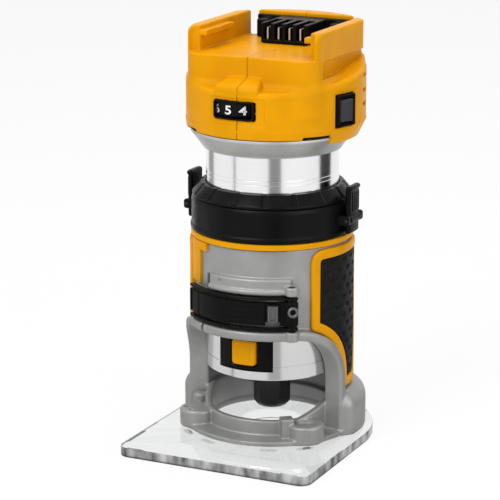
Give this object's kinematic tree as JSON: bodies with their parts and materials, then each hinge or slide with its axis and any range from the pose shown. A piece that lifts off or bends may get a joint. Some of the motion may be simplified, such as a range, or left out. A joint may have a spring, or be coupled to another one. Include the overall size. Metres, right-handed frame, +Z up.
{
  "type": "trim router",
  "caption": "Cordless trim router: a motor tube under a battery housing slides in a cast base with rubber grips, clamp lever and depth ring, standing on a clear plate.",
  "frame": {"origin": "on the surface that it stands on, under the middle of the part's box; the motor axis stands 10 mm behind it", "axes": "+Z up along the motor axis, +X to the right, +Y to the back, so the straight edge of the plate faces -Y"},
  "size_m": [0.108, 0.128, 0.219],
  "materials": {
    "clear_acrylic": "clear polished",
    "cast_aluminium": "satin die cast",
    "polished_aluminium": "turned and polished",
    "yellow_plastic": "semi-gloss moulded",
    "black_plastic": "moulded",
    "black_rubber": "moulded grip",
    "steel": "zinc plated",
    "blackened_steel": "black oxide",
    "copper": "enamelled winding",
    "circuit_board": "lacquered board"
  },
  "bodies": {
    "base": {"base_casting": "cast_aluminium", "sub_base": "clear_acrylic", "sub_base_screw_1": "steel", "sub_base_screw_2": "steel", "sub_base_screw_3": "steel", "sub_base_screw_4": "steel", "grip_left": "black_rubber", "grip_right": "black_rubber", "trim_left": "yellow_plastic", "trim_right": "yellow_plastic", "rim_band": "yellow_plastic", "ring_collar": "black_plastic", "tab_pin_left": "steel", "tab_pin_right": "steel", "lever_pin": "steel", "clamp_strap": "blackened_steel", "strap_rivet": "steel", "clamp_nut": "steel"},
    "motor": {"motor_tube": "polished_aluminium", "motor_collar": "cast_aluminium", "lock_bezel": "black_plastic", "lock_spring": "steel", "lower_end_cap": "cast_aluminium", "lower_bearing": "steel", "upper_bearing": "steel", "bearing_bracket": "black_plastic", "stator": "blackened_steel", "stator_coil_lower": "copper", "stator_coil_upper": "copper", "control_board": "circuit_board", "dial_potentiometer": "black_plastic", "dial_bezel": "black_plastic", "switch_bezel": "black_plastic", "switch_body": "black_plastic", "top_housing_left": "yellow_plastic", "top_housing_right": "yellow_plastic", "housing_screw_1": "steel", "housing_screw_2": "steel", "housing_screw_3": "steel", "terminal_block": "black_plastic", "terminal_blade_1": "steel", "terminal_blade_2": "steel", "terminal_blade_3": "steel", "terminal_blade_4": "steel"},
    "depth_ring": {"depth_ring": "black_plastic"},
    "tab_left": {"tab_left": "black_plastic"},
    "tab_right": {"tab_right": "black_plastic"},
    "clamp_lever": {"clamp_lever": "black_plastic"},
    "speed_dial": {"speed_dial": "black_plastic"},
    "switch_rocker": {"switch_rocker": "black_plastic"},
    "lock_button": {"lock_button": "yellow_plastic"},
    "spindle": {"spindle": "steel", "collet": "steel", "collet_nut": "blackened_steel", "rotor": "blackened_steel", "fan": "black_plastic"}
  },
  "joints": [
    {"name": "motor_slide", "type": "slide", "parent": "base", "child": "motor", "axis": [0, 0, 1], "range_m": [-0.012, 0.025]},
    {"name": "depth_ring_turn", "type": "hinge", "parent": "base", "child": "depth_ring", "pos_m": [0, 0.01, 0.13375], "axis": [0, 0, 1], "range_deg": [-709, 341]},
    {"name": "tab_left_press", "type": "hinge", "parent": "base", "child": "tab_left", "pos_m": [-0.0459, 0.01, 0.12135], "axis": [0, 1, 0], "range_deg": [0, 5], "stiffness_Nm_per_rad": 0.4, "springref_deg": -5.73},
    {"name": "tab_right_press", "type": "hinge", "parent": "base", "child": "tab_right", "pos_m": [0.0459, 0.01, 0.12135], "axis": [0, -1, 0], "range_deg": [0, 5], "stiffness_Nm_per_rad": 0.4, "springref_deg": -5.73},
    {"name": "clamp_lever_swing", "type": "hinge", "parent": "base", "child": "clamp_lever", "pos_m": [0.02767, -0.02542, 0.0768], "axis": [0, 0, 1], "range_deg": [0, 110]},
    {"name": "speed_dial_turn", "type": "hinge", "parent": "motor", "child": "speed_dial", "pos_m": [-0.00348, -0.01751, 0.1813], "axis": [0, 0, 1], "range_deg": [-124, 62]},
    {"name": "switch_rocker_tip", "type": "hinge", "parent": "motor", "child": "switch_rocker", "pos_m": [0.04383, 0.00143, 0.179], "axis": [0, 0, 1], "range_deg": [0, 16]},
    {"name": "lock_button_press", "type": "slide", "parent": "motor", "child": "lock_button", "axis": [0, 1, 0], "range_m": [0, 0.004], "stiffness_N_per_m": 300, "springref_m": -0.003, "deforming": ["lock_spring"]},
    {"name": "spindle_spin", "type": "hinge", "parent": "motor", "child": "spindle", "pos_m": [0, 0.01, 0.1], "axis": [0, 0, 1], "continuous": true}
  ],
  "couplings": [
    {"joint": "depth_ring_turn", "follows": "motor_slide", "rad_per_m": -494.74}
  ]
}
